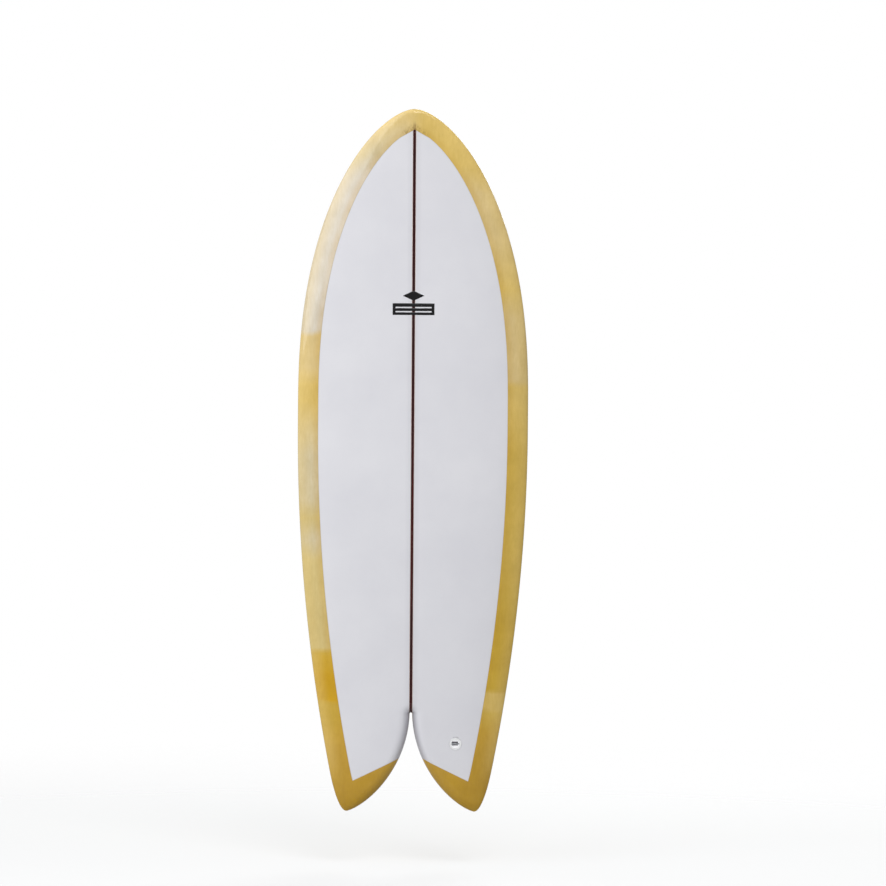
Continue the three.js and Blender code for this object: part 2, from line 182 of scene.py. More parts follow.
def section(x, z):
    """Heights of the deck and of the bottom over the bottom's centre line."""
    share = np.clip(x / np.maximum(rail_x(z), 1e-6), 0, 1)
    full = thickness(z)
    apex = full * (0.4 + 0.1 * nose_share(z) ** 2 - 0.18 * tail_share(z) ** 1.5)
    hardness = 16 - 10 * nose_share(z) + 14 * tail_share(z)
    deck = apex + (full - apex) * (1 - share**2.6) ** (1 / 1.8)
    bottom = apex * (1 - np.sqrt(1 - share**hardness))
    to_notch = np.full(x.shape, np.inf)
    near = z < NOTCH_Z + 40
    if near.any():
        to_notch[near] = distance_to_line(x[near], z[near], NOTCH_EDGE)
    room = deck - bottom
    deck = deck - round_over(to_notch, 24, np.minimum(24, 0.7 * room))
    bottom = bottom + round_over(to_notch, 4, np.minimum(4, 0.3 * room))
    return deck, bottom


def on_board(x, height, z):
    """Points in metres from millimetres across, over the bottom's centre line, and along."""
    y = BOTTOM_LEVEL - (rocker(z) + height) * MM
    return np.stack([x * MM, y, z * MM], axis=-1)


def lap_x(z):
    """The cut line of the wrapped glass on the deck, at one height or several."""
    rail_z = np.linspace(20, LENGTH - 0.5, 3000)
    rise = np.gradient(rail_x(rail_z), rail_z)
    scale = np.hypot(rise, 1)
    line_x = rail_x(rail_z) - LAP / scale
    line_z = rail_z + LAP * rise / scale
    kept = line_x > 0
    offset = np.interp(z, line_z[kept], line_x[kept])
    return np.clip(np.minimum(offset, (LAP_APEX_Z - z) / LAP_APEX_SLOPE), 0, None)


def tail_line_x(z):
    """The cut line across each lobe of the tail, between the notch and the lap's corner."""
    share = (z - LAP_CORNER_Z) / (LAP_NOTCH_Z - LAP_CORNER_Z)
    corner = lap_x(np.array(LAP_CORNER_Z))
    end = notch_x(np.array(LAP_NOTCH_Z))
    return corner + (end - corner) * np.clip(share, 0, 1)


# ---------------------------------------------------------------- frames on the board


def frame_at(across, out, centre):
    """A matrix whose X runs across, whose Y runs out, placed at centre."""
    out = out.normalized()
    across = (across - out * across.dot(out)).normalized()
    forward = across.cross(out)
    return Matrix.Translation(centre) @ Matrix((across, out, forward)).transposed().to_4x4()


def surface_point(x, z, of_deck):
    """One point of the deck or of the bottom, in metres."""
    x = np.array([float(x)])
    z = np.array([float(z)])
    deck, bottom = section(x, z)
    return Vector(on_board(x, deck if of_deck else bottom, z)[0])


def plug_frame():
    """Frame of the leash plug: Y points out of the deck."""
    across = surface_point(PLUG_X + 1, PLUG_Z, True) - surface_point(PLUG_X - 1, PLUG_Z, True)
    along = surface_point(PLUG_X, PLUG_Z + 1, True) - surface_point(PLUG_X, PLUG_Z - 1, True)
    return frame_at(Vector((1, 0, 0)), across.cross(along), surface_point(PLUG_X, PLUG_Z, True))


def fin_frame(side):
    """Frame of a fin: X away from the stringer, Y out of the bottom, Z towards the nose."""
    slope = 2 * TAIL_ROCKER * (TAIL_ROCKER_Z - FIN_Z) / TAIL_ROCKER_Z**2
    out = Vector((0, 1, -slope)).normalized()
    forward = Matrix.Rotation(-side * FIN_TOE, 3, out) @ Vector((0, slope, 1)).normalized()
    away = out.cross(forward) * side
    foot = surface_point(FIN_X, FIN_Z, False)
    foot.x *= side
    return Matrix.Translation(foot) @ Matrix((away, out, forward)).transposed().to_4x4()


PLUG_FRAME = plug_frame()

# ---------------------------------------------------------------- meshes


def patch_faces(rows, columns, first, flip):
    """Quads between the points of a grid, numbered row by row from first."""
    faces = []
    for i in range(rows - 1):
        for j in range(columns - 1):
            a = first + i * columns + j
            b = a + columns
            quad = (a, b, b + 1, a + 1)
            faces.append(quad[::-1] if flip else quad)
    return faces


class Patchwork:
    """A surface sewn from grids of points, with a number stored at each point."""

    def __init__(self):
        self.points = []
        self.faces = []
        self.values = []

    def add(self, grid, flip=False, value=None, both_sides=True):
        rows, columns = grid.shape[:2]
        value = np.ones((rows, columns)) if value is None else value
        for side in (1, -1) if both_sides else (1,):
            placed = grid * np.array([side, 1, 1])
            self.faces += patch_faces(rows, columns, len(self.points), flip == (side > 0))
            self.points += placed.reshape(-1, 3).tolist()
            self.values += value.ravel().tolist()

    def mesh(self, name, closed=False):
        mesh = bpy.data.meshes.new(name)
        mesh.from_pydata(self.points, [], self.faces)
        attribute = mesh.attributes.new("measure", "FLOAT", "POINT")
        attribute.data.foreach_set("value", self.values)
        work = bmesh.new()
        work.from_mesh(mesh)
        bmesh.ops.remove_doubles(work, verts=work.verts, dist=2e-6)
        bmesh.ops.dissolve_degenerate(work, edges=work.edges, dist=1e-7)
        if closed:
            bmesh.ops.recalc_face_normals(work, faces=work.faces)
        work.to_mesh(mesh)
        work.free()
        mesh.shade_smooth()
        return mesh


def new_object(name, mesh, material):
    piece = bpy.data.objects.new(name, mesh)
    bpy.context.scene.collection.objects.link(piece)
    piece.data.materials.append(material)
    return piece


def apply_modifiers(piece):
    evaluated = piece.evaluated_get(bpy.context.evaluated_depsgraph_get())
    finished = bpy.data.meshes.new_from_object(evaluated)
    piece.modifiers.clear()
    piece.data = finished


def thicken(piece, thick):
    """Gives a skin its thickness, inwards from the surface."""
    modifier = piece.modifiers.new("thickness", "SOLIDIFY")
    modifier.thickness = thick
    modifier.offset = -1
    apply_modifiers(piece)


def cut(piece, cutter):
    """Cuts one object out of another and throws the cutter away."""
    modifier = piece.modifiers.new("cut", "BOOLEAN")
    modifier.operation = "DIFFERENCE"
    modifier.solver = "EXACT"
    modifier.object = cutter
    apply_modifiers(piece)
    bpy.data.objects.remove(cutter)


# ---------------------------------------------------------------- material graphs


def linear(red, green, blue):
    """A linear colour from the 0 to 255 numbers of a screen."""
    channels = [value / 255 for value in (red, green, blue)]
    return tuple(c / 12.92 if c <= 0.04045 else ((c + 0.055) / 1.055) ** 2.4 for c in channels) + (1,)


class Graph:
    """A Principled material with short calls for the nodes that feed it."""

    def __init__(self, name, roughness=0.4, coat=0.0, metallic=0.0, specular=0.5):
        self.material = bpy.data.materials.new(name)
        self.material.use_nodes = True
        self.nodes = self.material.node_tree.nodes
        self.links = self.material.node_tree.links
        self.shader = self.nodes["Principled BSDF"]
        self.shader.inputs["Roughness"].default_value = roughness
        self.shader.inputs["Metallic"].default_value = metallic
        self.shader.inputs["Specular IOR Level"].default_value = specular
        self.shader.inputs["Coat Weight"].default_value = coat
        self.shader.inputs["Coat Roughness"].default_value = 0.04
        self.position = self.nodes.new("ShaderNodeTexCoord").outputs["Object"]
        split = self.nodes.new("ShaderNodeSeparateXYZ")
        self.links.new(self.position, split.inputs[0])
        self.x, self.y, self.z = split.outputs

    def put(self, socket, value):
        if isinstance(value, bpy.types.NodeSocket):
            self.links.new(value, socket)
        else:
            socket.default_value = value

    def math(self, operation, *values):
        node = self.nodes.new("ShaderNodeMath")
        node.operation = operation
        for socket, value in zip(node.inputs, values):
            self.put(socket, value)
        return node.outputs[0]

    def product(self, first, *others):
        for other in others:
            first = self.math("MULTIPLY", first, other)
        return first

    def scaled(self, value, low, high, to_low=0.0, to_high=1.0):
        """value moved from one range to another, smoothly and held at the ends."""
        node = self.nodes.new("ShaderNodeMapRange")
        node.interpolation_type = "SMOOTHSTEP"
        limits = {"From Min": low, "From Max": high, "To Min": to_low, "To Max": to_high}
        for name, number in limits.items():
            node.inputs[name].default_value = number
        self.put(node.inputs["Value"], value)
        return node.outputs["Result"]

    def mix(self, share, first, second, blend="MIX"):
        node = self.nodes.new("ShaderNodeMix")
        node.data_type = "RGBA"
        node.blend_type = blend
        colours = [socket for socket in node.inputs if socket.type == "RGBA"]
        self.put(node.inputs["Factor"], share)
        self.put(colours[0], first)
        self.put(colours[1], second)
        return [socket for socket in node.outputs if socket.type == "RGBA"][0]

    def ramp(self, value, stops):
        """A colour read off at value, from (place, colour) stops in rising order."""
        node = self.nodes.new("ShaderNodeValToRGB")
        elements = node.color_ramp.elements
        while len(elements) < len(stops):
            elements.new(0.5)
        for element, (place, colour) in zip(elements, stops):
            element.position = place
            element.color = colour
        self.put(node.inputs[0], value)
        return node.outputs["Color"]

    def within(self, axes):
        """The three object coordinates measured along the axes of a matrix."""
        inverse = axes.inverted()
        node = self.nodes.new("ShaderNodeMapping")
        node.inputs["Location"].default_value = inverse.to_translation()
        node.inputs["Rotation"].default_value = inverse.to_euler()
        split = self.nodes.new("ShaderNodeSeparateXYZ")
        self.links.new(self.position, node.inputs["Vector"])
        self.links.new(node.outputs["Vector"], split.inputs[0])
        return split.outputs

    def stretched(self, across, through, along):
        """Object coordinates scaled by three numbers, for grain and streaks."""
        node = self.nodes.new("ShaderNodeMapping")
        node.inputs["Scale"].default_value = (across, through, along)
        self.links.new(self.position, node.inputs["Vector"])
        return node.outputs["Vector"]

    def noise(self, scale, detail=3.0, roughness=0.5, vector=None):
        node = self.nodes.new("ShaderNodeTexNoise")
        node.inputs["Scale"].default_value = scale
        node.inputs["Detail"].default_value = detail
        node.inputs["Roughness"].default_value = roughness
        self.links.new(vector or self.position, node.inputs["Vector"])
        return node.outputs["Fac"]

    def measure(self):
        """The number stored at each point of the mesh."""
        node = self.nodes.new("ShaderNodeAttribute")
        node.attribute_name = "measure"
        return node.outputs["Fac"]

    def sideways(self):
        """How far the surface has turned to face across the board, from 0 to 1."""
        split = self.nodes.new("ShaderNodeSeparateXYZ")
        self.links.new(self.nodes.new("ShaderNodeNewGeometry").outputs["Normal"], split.inputs[0])
        return self.math("ABSOLUTE", split.outputs["X"])

    def band(self, value, half, soft):
        """1 where value is within half of zero, falling to 0 over soft."""
        return self.scaled(self.math("ABSOLUTE", value), half, half + soft, 1, 0)

    def bump(self, height, distance, strength=1.0):
        node = self.nodes.new("ShaderNodeBump")
        node.inputs["Strength"].default_value = strength
        node.inputs["Distance"].default_value = distance
        self.links.new(height, node.inputs["Height"])
        self.links.new(node.outputs["Normal"], self.shader.inputs["Normal"])

    def finish(self, colour):
        self.put(self.shader.inputs["Base Color"], colour)
        return self.material


def cloth_weave(graph, pitch):
    """The faint over-and-under of glass cloth, as a grey around one half."""
    warp = graph.math("SINE", graph.product(graph.x, 2 * math.pi / pitch))
    weft = graph.math("SINE", graph.product(graph.z, 2 * math.pi / pitch))
    return graph.math("MULTIPLY_ADD", graph.product(warp, weft), 0.5, 0.5)


def resin_ripple(graph):
    """The slight unevenness of hand-laid resin."""
    graph.bump(graph.noise(120, 2), 0.00012, 0.25)


def stringer_colour(graph):
    grain = graph.noise(60, 4, 0.6, graph.stretched(1, 1, 0.06))
    return graph.ramp(grain, [
        (0.25, linear(36, 2, 2)),
        (0.55, linear(54, 5, 4)),
        (0.8, linear(76, 22, 16)),
    ])


WHITE = linear(255, 255, 255)
# Painted reflection: a pale cream laid high on the left rail, standing in for bright light reflected
# there.
REFLECTION_CREAM = linear(225, 217, 206)
SAND = linear(222, 208, 174)
STRAW = linear(231, 206, 149)
WHEAT = linear(222, 200, 137)
HONEY = linear(232, 201, 118)
GOLD = linear(223, 189, 92)
TOFFEE = linear(216, 179, 68)
DEEP = linear(219, 171, 12)
OCHRE = linear(209, 168, 66)
UMBER = linear(190, 149, 34)
# Painted highlight colour, mixed in towards the rail edges.
RAIL_SHEEN_PALE = linear(244, 214, 134)

# Tints of the wrapped glass up each rail, from the tail tips, as (millimetres, tint).
# On the left rail the cream from 1150 to 1520 mm is a painted reflection over the tint.
LEFT_TINTS = [
    (20, UMBER), (160, OCHRE), (225, TOFFEE), (260, TOFFEE), (267, DEEP), (315, DEEP),
    (377, TOFFEE), (384, WHEAT), (600, WHEAT), (650, SAND), (700, WHEAT), (750, SAND),
    (850, SAND), (985, HONEY), (1020, HONEY), (1060, STRAW), (1142, STRAW), (1150, REFLECTION_CREAM),
    (1520, REFLECTION_CREAM), (1570, SAND), (1650, STRAW),
]
RIGHT_TINTS = [
    (20, UMBER), (160, OCHRE), (190, OCHRE), (235, GOLD), (248, HONEY), (282, HONEY),
    (290, TOFFEE), (430, TOFFEE), (600, GOLD), (860, GOLD), (985, HONEY), (1018, HONEY),
    (1030, STRAW), (1180, STRAW), (1250, HONEY), (1380, STRAW), (1480, STRAW), (1540, HONEY),
    (1620, HONEY),
]


def rail_tints(graph):
    """The two runs of tints, one on each side of the stringer, with edges that drift a little."""
    drift = graph.math("MULTIPLY_ADD", graph.noise(11, 3), 0.03, -0.015)
    height = graph.math("DIVIDE", graph.math("ADD", graph.z, drift), LENGTH * MM)
    left = graph.ramp(height, [(z / LENGTH, tint) for z, tint in LEFT_TINTS])
    right = graph.ramp(height, [(z / LENGTH, tint) for z, tint in RIGHT_TINTS])
    return graph.mix(graph.scaled(graph.x, -0.03, 0.03), left, right)


def golden_patch(graph, measure, colour):
    """A deep gold patch beside the deck, low on the left rail."""
    place = graph.band(graph.math("SUBTRACT", graph.z, PATCH_Z * MM), PATCH_HALF * MM, 0.004)
    left = graph.scaled(graph.x, -0.03, 0.03, 1, 0)
    inner = graph.scaled(measure, 18, 34, 1, 0)
    low = graph.scaled(graph.z, (PATCH_Z - 2) * MM, (PATCH_Z + 18) * MM, 0.75, 0.25)
    return graph.mix(graph.product(place, left, inner, low), colour, DEEP)


def resin_depth(graph, measure, colour, below_rail):
    """Resin tint with a painted sheen that pales it towards the rail, gold underneath, pooled along the
    cut line.
    """
    # Painted highlight: the tint pales towards the rail edge, in place of the light the rail reflects
    # there.
    painted_rail_sheen = graph.product(graph.scaled(measure, 12, 46, 0.0, 0.34), graph.scaled(graph.z, 0.05, 0.15))
    colour = graph.mix(painted_rail_sheen, colour, RAIL_SHEEN_PALE)
    colour = graph.mix(below_rail, colour, GOLD)
    pooled = graph.product(graph.scaled(measure, 3, 20, 0.5, 0.0), graph.noise(16, 2))
    return graph.mix(pooled, colour, linear(206, 162, 50))


def streaks(graph, colour):
    """Clouds, streaks along the board and fine strands, each a wash over the tint."""
    cloud = graph.noise(17, 4, 0.6)
    streak = graph.noise(34, 3, 0.5, graph.stretched(1, 1, 0.1))
    strands = graph.noise(210, 4, 0.65, graph.stretched(1, 1, 0.22))
    for share, pattern, shade in (
        (0.9, cloud, linear(240, 238, 232)),
        (0.6, streak, linear(243, 240, 230)),
        (0.7, strands, linear(244, 240, 226)),
    ):
        wash = graph.ramp(pattern, [(0.3, shade), (0.7, WHITE)])
        colour = graph.mix(share, colour, wash, "MULTIPLY")
    return colour


def apex_flecks(graph, measure, colour):
    """Dark flecks along the cut line, where it comes to a point below the nose."""
    near_wood = graph.band(graph.x, 0.012, 0.030)
    near_nose = graph.scaled(graph.z, (LAP_APEX_Z - 34) * MM, (LAP_APEX_Z - 10) * MM)
    near_line = graph.scaled(measure, 3, 17, 1.0, 0.0)
    speckle = graph.noise(230, 4, 0.7, graph.stretched(1, 1, 0.5))
    flecks = graph.scaled(speckle, 0.40, 0.66, 0.1, 0.75)
    share = graph.product(near_wood, near_nose, near_line, flecks)
    return graph.mix(share, colour, linear(146, 120, 62))


def wood_beneath(graph, colour, below_rail):
    """The stringer, faint through the tinted glass just past the cut line and underneath."""
    past_line = graph.scaled(graph.z, (LAP_APEX_Z + 5) * MM, (LAP_APEX_Z + 24) * MM, 0.40, 0.0)
    seen = graph.math("MAXIMUM", past_line, graph.product(below_rail, 0.45))
    stripe = graph.band(graph.x, 0.0029, 0.0009)
    return graph.mix(graph.product(stripe, seen), colour, linear(92, 60, 40))


def amber_glass():
    """Tinted resin. Its measure is the distance from the cut line, in millimetres."""
    graph = Graph("amber_glass", roughness=0.35, coat=1.0, specular=0.0)
    measure = graph.measure()
    below_rail = graph.scaled(measure, LAP + 12, LAP + 70)
    colour = golden_patch(graph, measure, rail_tints(graph))
    colour = resin_depth(graph, measure, colour, below_rail)
    colour = streaks(graph, colour)
    fold = graph.scaled(measure, 0.0, 2.0, 0.30, 0.0)
    colour = graph.mix(fold, colour, linear(176, 140, 70))
    colour = apex_flecks(graph, measure, colour)
    colour = wood_beneath(graph, colour, below_rail)
    resin_ripple(graph)
    return graph.finish(colour)


def clear_glass():
    """Clear resin over white foam and the stringer, darker along the cut line, with painted shade in the
    notch.
    """
    graph = Graph("clear_glass_over_foam", roughness=0.35, coat=1.0, specular=0.0)
    cloud = graph.noise(7, 4, 0.55)
    base = graph.ramp(cloud, [(0.3, linear(222, 221, 226)), (0.7, linear(228, 227, 231))])
    weave = graph.product(cloth_weave(graph, 0.0016), 0.05)
    base = graph.mix(weave, base, linear(196, 197, 203))
    cells = graph.scaled(graph.noise(420, 2, 0.7), 0.62, 0.72, 0.0, 0.10)
    base = graph.mix(cells, base, linear(188, 188, 194))
    seam = graph.scaled(graph.measure(), 0.0, 2.2, 0.30, 0.0)
    base = graph.mix(seam, base, linear(176, 168, 150))
    # Painted shade: in the notch, the deck is darkened where it turns to face across the board.
    in_notch = graph.scaled(graph.z, NOTCH_Z * MM, (NOTCH_Z + 8) * MM, 1, 0)
    painted_notch_shade = graph.product(in_notch, graph.scaled(graph.sideways(), 0.25, 1.0, 0.0, 0.45))
    base = graph.mix(painted_notch_shade, base, linear(112, 106, 118))
    beside_wood = graph.product(graph.band(graph.x, 0.004, 0.016), 0.2)
    base = graph.mix(beside_wood, base, linear(188, 186, 192))
    glue = graph.product(graph.band(graph.x, 0.0042, 0.0008), 0.6)
    base = graph.mix(glue, base, linear(204, 182, 170))
    wood = graph.band(graph.x, 0.0032, 0.0004)
    resin_ripple(graph)
    return graph.finish(graph.mix(wood, base, stringer_colour(graph)))


def mark_print():
    graph = Graph("mark_print", roughness=0.45, coat=1.0, specular=0.0)
    ink = graph.noise(260, 3, 0.6)
    return graph.finish(graph.ramp(ink, [(0.3, linear(8, 8, 10)), (0.75, linear(26, 24, 26))]))


def ply_wood():
    """Plywood whose layers show where the foil cuts them.

    Its measure is the distance from the keel's middle plane, in millimetres.
    """
    graph = Graph("keel_plywood", roughness=0.4, coat=1.0, specular=0.0)
    waver = graph.math("MULTIPLY_ADD", graph.noise(22, 3), 0.5, -0.25)
    depth = graph.math("ADD", graph.measure(), waver)
    layer = graph.math("SINE", graph.product(depth, 2 * math.pi / PLY_PAIR))
    plies = graph.scaled(layer, -0.35, 0.35)
    grain = graph.noise(80, 5, 0.6, graph.stretched(1, 1, 0.08))
    light = graph.ramp(grain, [(0.25, linear(176, 134, 86)), (0.7, linear(206, 166, 116))])
    dark = graph.ramp(grain, [(0.25, linear(118, 76, 44)), (0.7, linear(150, 102, 62))])
    graph.bump(grain, 0.0001, 0.2)
    return graph.finish(graph.mix(plies, dark, light))


def fin_glass():
    graph = Graph("keel_glass_rim", roughness=0.3, coat=1.0, specular=0.0)
    weave = cloth_weave(graph, 0.0014)
    tone = graph.math("ADD", graph.product(weave, 0.25), graph.noise(30, 3))
    return graph.finish(graph.ramp(tone, [(0.35, linear(190, 150, 78)), (0.85, linear(222, 192, 128))]))


def box_plastic():
    graph = Graph("fin_box_plastic", roughness=0.5)
    speck = graph.noise(600, 2)
    graph.bump(speck, 0.00006, 0.3)
    shade = graph.noise(40, 3)
    return graph.finish(graph.ramp(shade, [(0.3, linear(206, 202, 188)), (0.7, linear(220, 216, 204))]))


def plug_plastic():
    """White plastic with a painted glow inside the cup, in place of light passing through milky plastic,
    and painted shade on the middle of its floor.
    """
    graph = Graph("leash_plug_plastic", roughness=0.3)
    across, out, along = graph.within(PLUG_FRAME)
    # Painted shade: a darker patch on the middle of the cup's floor.
    floor = graph.scaled(out, -0.0135, -0.0115, 1, 0)
    painted_floor_shade = graph.product(floor, graph.band(across, 0.0072, 0.0008), graph.band(along, 0.0044, 0.0008))
    # Painted glow: the inside of the cup emits light, standing in for light passing through milky plastic.
    inside = graph.scaled(out, -0.0030, -0.0002, 0.27, 0.0)
    glow = graph.product(inside, graph.math("SUBTRACT", 1.0, painted_floor_shade))
    graph.put(graph.shader.inputs["Emission Color"], linear(240, 240, 244))
    graph.put(graph.shader.inputs["Emission Strength"], glow)
    white = graph.ramp(graph.noise(40, 3), [(0.3, linear(240, 240, 240)), (0.7, linear(248, 248, 248))])
    return graph.finish(graph.mix(painted_floor_shade, white, linear(112, 110, 114)))


def steel():
    graph = Graph("stainless_steel", roughness=0.3, metallic=1.0)
    brushed = graph.noise(300, 3, 0.5, graph.stretched(0.1, 1, 1))
    graph.put(graph.shader.inputs["Roughness"], graph.scaled(brushed, 0.2, 0.8, 0.2, 0.42))
    return graph.finish(graph.ramp(brushed, [(0.3, linear(150, 152, 156)), (0.7, linear(186, 188, 190))]))


def foam():
    graph = Graph("polyurethane_foam", roughness=0.9)
    cells = graph.noise(900, 2)
    graph.bump(cells, 0.0002, 0.4)
    return graph.finish(graph.ramp(cells, [(0.3, linear(226, 222, 208)), (0.7, linear(244, 241, 232))]))


def stringer_wood():
    graph = Graph("stringer_wood", roughness=0.55)
    return graph.finish(stringer_colour(graph))


AMBER = amber_glass()
CLEAR = clear_glass()
INK = mark_print()
PLY = ply_wood()
FIN_GLASS = fin_glass()
STEEL = steel()
FOAM = foam()
STRINGER = stringer_wood()
BOX_PLASTIC = box_plastic()
PLUG_PLASTIC = plug_plastic()

# ---------------------------------------------------------------- glassed surfaces of the board

FAR_FROM_LINE = LAP + 1

# Heights at which every surface of the board has a row of points.
STATIONS = np.unique(np.concatenate([
    eased(0, LAP_CORNER_Z, 14),
    eased(LAP_CORNER_Z, LAP_NOTCH_Z, 10),
    eased(LAP_NOTCH_Z, NOTCH_Z, 22),
    eased(NOTCH_Z, LAP_APEX_Z, 130),
    eased(LAP_APEX_Z, LENGTH, 60),
]))
tail_lap_z = np.linspace(LAP_NOTCH_Z, LAP_CORNER_Z, 12)
side_lap_z = eased(LAP_CORNER_Z, LAP_APEX_Z, 160)[1:]
LAP_LINE = np.concatenate([
    np.stack([tail_line_x(tail_lap_z), tail_lap_z], axis=1),
    np.stack([lap_x(side_lap_z), side_lap_z], axis=1),
])


def rows_between(low, high):
    """The heights in STATIONS from one limit to another."""
    return STATIONS[(STATIONS >= low) & (STATIONS <= high)]


def add_deck(work, low, high, z, count, ridge):
    """A patch of the deck between two limits of x, with a ridge along the cut line."""
    x = between(low, high, count)
    height = np.broadcast_to(z[:, None], x.shape)
    gap = distance_to_line(x, height, LAP_LINE)
    edge = np.clip((x - notch_x(height)) / 4, 0, 1)
    deck = section(x, height)[0] + ridge * np.clip(1 - gap / 8, 0, 1) * edge
    work.add(on_board(x, deck, height), flip=True, value=gap)


def add_bottom(work, count):
    """The whole bottom, whose measure goes on from the lap's width at the rail."""
    x = between(notch_x(STATIONS), rail_x(STATIONS), count)
    height = np.broadcast_to(STATIONS[:, None], x.shape)
    from_rail = rail_x(STATIONS)[:, None] - x
    work.add(on_board(x, section(x, height)[1], height), value=LAP + from_rail)


def add_notch_wall(work, z, upper):
    """The wall of the notch, either its upper part or the strip along the bottom."""
    x = notch_x(z)
    deck, bottom = section(x, z)
    split = bottom + np.minimum(LAP_ABOVE_BOTTOM, 0.5 * (deck - bottom))
    heights = between(deck, split, 8) if upper else between(split, bottom, 4)
    width = np.broadcast_to(x[:, None], heights.shape)
    along = np.broadcast_to(z[:, None], heights.shape)
    work.add(on_board(width, heights, along), value=np.full(width.shape, FAR_FROM_LINE))


def white_deck():
    """The deck inside the cut line, and the notch's wall beside it."""
    work = Patchwork()
    z = rows_between(LAP_CORNER_Z, LAP_APEX_Z)
    low = np.where(z < LAP_NOTCH_Z, tail_line_x(z), notch_x(z))
    add_deck(work, low, lap_x(z), z, 40, 0.0)
    add_notch_wall(work, rows_between(LAP_NOTCH_Z, NOTCH_Z), True)
    return work.mesh("deck_glass")


def below_corner_x(z):
    """A line down each tail tip from the lap's corner, at the same share of the lobe's width."""
    corner = np.array(LAP_CORNER_Z)
    share = (lap_x(corner) - notch_x(corner)) / (rail_x(corner) - notch_x(corner))
    return notch_x(z) + share * (rail_x(z) - notch_x(z))


def amber_wrap():
    """The band round the deck, the tail tips, the bottom and the rest of the notch's wall."""
    work = Patchwork()
    inner = np.where(STATIONS < LAP_CORNER_Z, below_corner_x(STATIONS), lap_x(STATIONS))
    add_deck(work, inner, rail_x(STATIONS), STATIONS, 22, RIDGE)
    z = rows_between(0, LAP_NOTCH_Z)
    split = np.where(z < LAP_CORNER_Z, below_corner_x(z), tail_line_x(z))
    add_deck(work, notch_x(z), split, z, 22, RIDGE)
    add_bottom(work, 40)
    add_notch_wall(work, z, True)
    add_notch_wall(work, rows_between(0, NOTCH_Z), False)
    return work.mesh("bottom_glass")


def prism(name, outline, low, high, matrix):
    """A closed prism from an outline of (x, z) points in millimetres, along its own Y."""
    work = bmesh.new()
    rings = []
    for y in (low, high):
        rings.append([work.verts.new((x * MM, y * MM, z * MM)) for x, z in outline])
    count = len(outline)
    work.faces.new(rings[0])
    work.faces.new(rings[1][::-1])
    for i in range(count):
        j = (i + 1) % count
        work.faces.new((rings[0][j], rings[0][i], rings[1][i], rings[1][j]))
    bmesh.ops.transform(work, matrix=matrix, verts=work.verts)
    bmesh.ops.recalc_face_normals(work, faces=work.faces)
    mesh = bpy.data.meshes.new(name)
    work.to_mesh(mesh)
    work.free()
    cutter = bpy.data.objects.new(name, mesh)
    bpy.context.scene.collection.objects.link(cutter)
    return cutter


def ring(radius, count):
    """A circle of (x, z) points."""
    angles = np.linspace(0, 2 * math.pi, count, endpoint=False)
    return [(radius * math.cos(a), radius * math.sin(a)) for a in angles]


def stadium(length, width):
    """A slot with round ends, along Z, as (x, z) points."""
    radius = width / 2
    outline = []
    for end in (1, -1):
        for angle in np.linspace(0, math.pi, 17):
            z = end * (length / 2 - radius + radius * math.sin(angle))
            outline.append((end * radius * math.cos(angle), z))
    return outline


deck_piece = new_object("deck_glass", white_deck(), CLEAR)
thicken(deck_piece, GLASS * MM)
cut(deck_piece, prism("plug_hole", ring(PLUG_RIM + 0.04, 64), -6, 6, PLUG_FRAME))
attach(deck_piece, "board")
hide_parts("deck_lamination")

bottom_piece = new_object("bottom_glass", amber_wrap(), AMBER)
thicken(bottom_piece, GLASS * MM)
box_hole = stadium(BOX_LENGTH + 0.4, BOX_WIDTH + 0.4)
for side in (1, -1):
    cut(bottom_piece, prism("box_hole", box_hole, -6, 6, fin_frame(side)))
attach(bottom_piece, "board")
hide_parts("bottom_lamination")

# ---------------------------------------------------------------- marks printed on the deck


def deck_print(name, x_lines, z_lines, width_at, skip, node):
    """A thin print that follows the deck, from a grid of cells with some left out."""
    work = Patchwork()
    for z0, z1 in zip(z_lines[:-1], z_lines[1:]):
        for x0, x1 in zip(x_lines[:-1], x_lines[1:]):
            if skip((x0 + x1) / 2, (z0 + z1) / 2):
                continue
            z = np.linspace(z0, z1, 5)
            x = np.stack([np.linspace(x0, x1, 7) * width_at(v) for v in z])
            along = np.broadcast_to((MARK_Z + z)[:, None], x.shape)
            work.add(on_board(x, section(x, along)[0] + PRINT_PROUD, along), flip=True)
    piece = new_object(name, work.mesh(name), INK)
    thicken(piece, PRINT_THICK * MM)
    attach(piece, "board")
    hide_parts(node)


def lozenge_width(z):
    return 1 - abs(z - 20) / 12


def in_slot(x, z):
    return x < 43 and (-19.5 < z < -16.5 or -9.5 < z < -6.5)


deck_print("deck_mark_lozenge", [0, 26], [8, 20, 32], lozenge_width, lambda x, z: False, "deck_mark_upper")
deck_print("deck_mark_bars", [0, 43, 50], [-26, -19.5, -16.5, -9.5, -6.5, 2], lambda z: 1, in_slot,
           "deck_mark_lower")

# ---------------------------------------------------------------- keel fins

# Brings the foil's profile, sqrt(c) * (1 - c), to a height of 1 at its thickest.
FOIL_SCALE = 2.598
WALLS = {"base": (0, slice(None)), "low": (slice(None), 0), "high": (slice(None), -1)}


def fin_edges(height, margin):
    """Front and back edges of the keel at a height over its base."""
    share = np.clip(height / (FIN_DEPTH - margin), 0, 1)
    sweep = 9 * np.sin(3.6 * share) - 9 * math.sin(3.6)
    back = -FIN_BASE / 2 + 1.2 * margin + sweep * share + 9 * share**8
    tip = -FIN_BASE / 2 + 1.2 * margin + 9
    front = tip + (FIN_BASE / 2 - 1.3 * margin - tip) * (1 - share**2.1) ** 0.62
    return front, back


